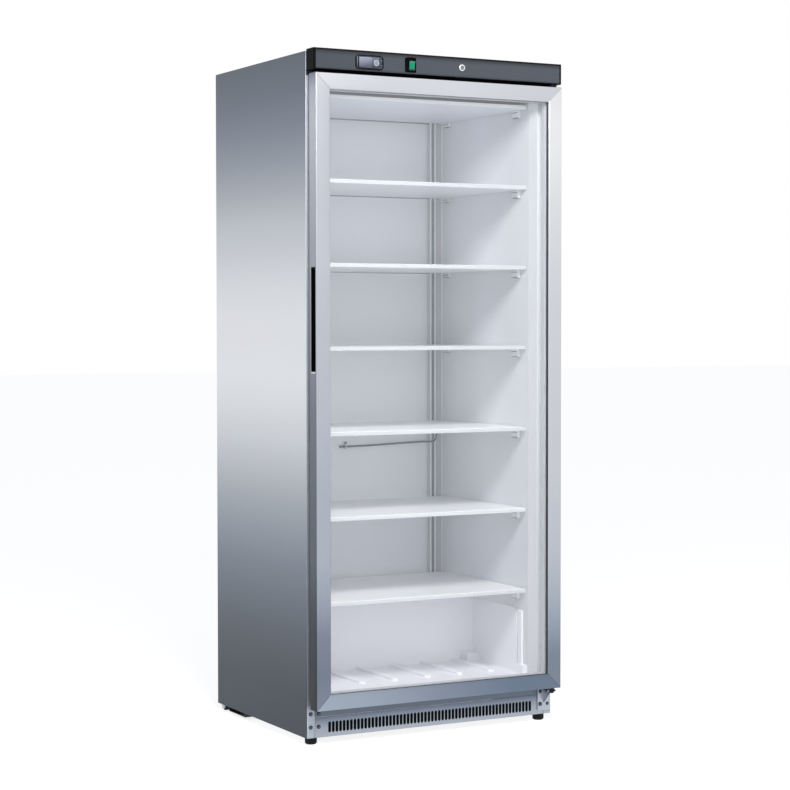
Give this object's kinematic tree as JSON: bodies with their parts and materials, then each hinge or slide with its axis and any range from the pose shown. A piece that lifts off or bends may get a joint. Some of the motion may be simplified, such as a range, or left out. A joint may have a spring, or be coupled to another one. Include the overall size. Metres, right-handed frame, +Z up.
{
  "type": "upright display freezer",
  "caption": "Tall stainless-steel freezer with a framed glass door hinged on the right, fixed evaporator shelves in a white liner, and a control panel above the door.",
  "frame": {"origin": "on the floor under the centre of the overall box", "axes": "+Z up, -Y towards the user in front of the glass door, +X to the user's right"},
  "size_m": [0.777, 0.695, 1.868],
  "materials": {
    "outer_steel": "brushed stainless steel",
    "galvanised": "galvanised sheet",
    "white_coating": "white powder coat",
    "white_plastic": "white moulded plastic",
    "foam": "rigid polyurethane foam",
    "black_plastic": "black moulded plastic",
    "panel_plastic": "dark grey satin plastic",
    "black_steel": "black enamel",
    "chrome": "polished",
    "green_lens": "translucent green",
    "silver_lens": "satin grey lens",
    "glass": "clear",
    "rubber": "matt black",
    "seal": "light grey",
    "copper": "drawn copper"
  },
  "bodies": {
    "cabinet": {"left_side_panel": "outer_steel", "right_side_panel": "outer_steel", "top_panel": "outer_steel", "back_panel": "galvanised", "base_frame": "galvanised", "insulation_foam": "foam", "inner_liner": "white_plastic", "shelf_support_left": "white_plastic", "shelf_support_right": "white_plastic", "evaporator_shelf_1": "white_coating", "evaporator_shelf_2": "white_coating", "evaporator_shelf_3": "white_coating", "evaporator_shelf_4": "white_coating", "evaporator_shelf_5": "white_coating", "evaporator_shelf_6": "white_coating", "evaporator_shelf_7": "white_coating", "evaporator_feed_pipe": "white_coating", "evaporator_return_pipe": "white_coating", "air_sensor": "black_plastic", "sensor_lead": "black_plastic", "control_panel": "panel_plastic", "controller_case": "black_plastic", "controller_display": "silver_lens", "rocker_housing": "black_plastic", "lock_housing": "chrome", "front_grille": "outer_steel", "bottom_hinge": "outer_steel", "top_hinge": "outer_steel", "hinge_screw_1": "black_steel", "hinge_screw_2": "black_steel", "hinge_screw_3": "black_steel", "column_screw_upper": "black_steel", "column_screw_lower": "black_steel", "rail_screw_left": "black_steel", "grille_screw_left": "black_steel", "compressor_tray": "black_steel", "compressor": "black_steel", "terminal_box": "black_plastic", "condenser": "black_steel", "filter_drier": "copper", "wall_spacer": "black_steel"},
    "door": {"door_frame_left": "outer_steel", "door_frame_right": "outer_steel", "door_frame_top": "outer_steel", "door_frame_bottom": "outer_steel", "door_inner_frame": "white_plastic", "glass_outer": "glass", "glass_inner": "glass", "glass_spacer": "black_plastic", "door_gasket": "seal", "door_handle_insert": "black_plastic"},
    "power_rocker_body": {"power_rocker": "green_lens"},
    "lock_plug_body": {"lock_plug": "chrome"},
    "set_button_body": {"set_button": "silver_lens"},
    "up_button_body": {"up_button": "panel_plastic"},
    "down_button_body": {"down_button": "panel_plastic"},
    "front_foot_left_body": {"front_foot_left": "rubber"},
    "front_foot_right_body": {"front_foot_right": "rubber"},
    "rear_roller_left_body": {"rear_roller_left": "rubber"},
    "rear_roller_right_body": {"rear_roller_right": "rubber"}
  },
  "joints": [
    {"name": "door_hinge", "type": "hinge", "parent": "cabinet", "child": "door", "pos_m": [0.366, -0.327, 0.95], "axis": [0, 0, 1], "range_deg": [0, 110]},
    {"name": "rocker_tilt", "type": "hinge", "parent": "cabinet", "child": "power_rocker_body", "pos_m": [-0.0935, -0.336, 1.836], "axis": [-1, 0, 0], "range_deg": [0, 14]},
    {"name": "lock_turn", "type": "hinge", "parent": "cabinet", "child": "lock_plug_body", "pos_m": [0.062, -0.33, 1.839], "axis": [0, 1, 0], "range_deg": [0, 90]},
    {"name": "set_button_press", "type": "slide", "parent": "cabinet", "child": "set_button_body", "axis": [0, 1, 0], "range_m": [0, 0.0012], "stiffness_N_per_m": 400},
    {"name": "up_button_press", "type": "slide", "parent": "cabinet", "child": "up_button_body", "axis": [0, 1, 0], "range_m": [0, 0.0012], "stiffness_N_per_m": 400},
    {"name": "down_button_press", "type": "slide", "parent": "cabinet", "child": "down_button_body", "axis": [0, 1, 0], "range_m": [0, 0.0012], "stiffness_N_per_m": 400},
    {"name": "front_foot_left_screw", "type": "slide", "parent": "cabinet", "child": "front_foot_left_body", "axis": [0, 0, -1], "range_m": [0, 0.01]},
    {"name": "front_foot_right_screw", "type": "slide", "parent": "cabinet", "child": "front_foot_right_body", "axis": [0, 0, -1], "range_m": [0, 0.01]},
    {"name": "rear_roller_left_spin", "type": "hinge", "parent": "cabinet", "child": "rear_roller_left_body", "pos_m": [-0.37, 0.292, 0.014], "axis": [1, 0, 0], "continuous": true},
    {"name": "rear_roller_right_spin", "type": "hinge", "parent": "cabinet", "child": "rear_roller_right_body", "pos_m": [0.37, 0.292, 0.014], "axis": [1, 0, 0], "continuous": true}
  ]
}
